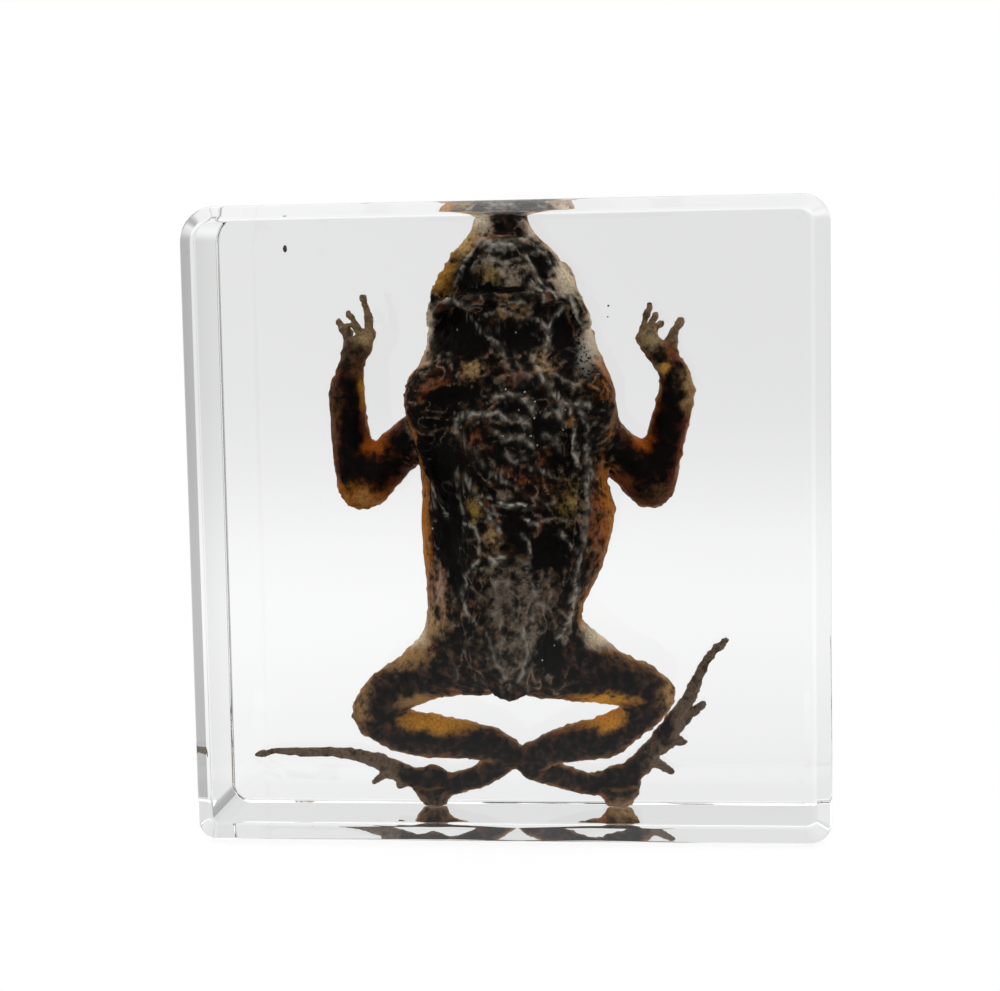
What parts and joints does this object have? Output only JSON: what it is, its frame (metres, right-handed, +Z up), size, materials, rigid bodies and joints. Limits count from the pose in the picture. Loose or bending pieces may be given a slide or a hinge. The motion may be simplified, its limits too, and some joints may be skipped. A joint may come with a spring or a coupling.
{
  "type": "toad in resin block",
  "caption": "Clear cast resin block, square and standing on edge, with a dried toad sealed inside, belly to the front, arms raised and hind legs folded.",
  "frame": {"origin": "middle of the block's underside, where it stands", "axes": "+Z up; the large face that shows the toad's belly looks towards -Y; +X to the right as seen from the front"},
  "size_m": [0.075, 0.033, 0.075],
  "materials": {
    "toad_skin": "dried and preserved toad skin, dark brown to black with amber thin parts and a wet gloss under the resin",
    "clear_resin": "water-clear cast resin, polished faces, narrow sloped rims and rounded corners"
  },
  "bodies": {
    "root": {"toad": "toad_skin", "resin_front": "clear_resin", "resin_back": "clear_resin"}
  },
  "joints": []
}
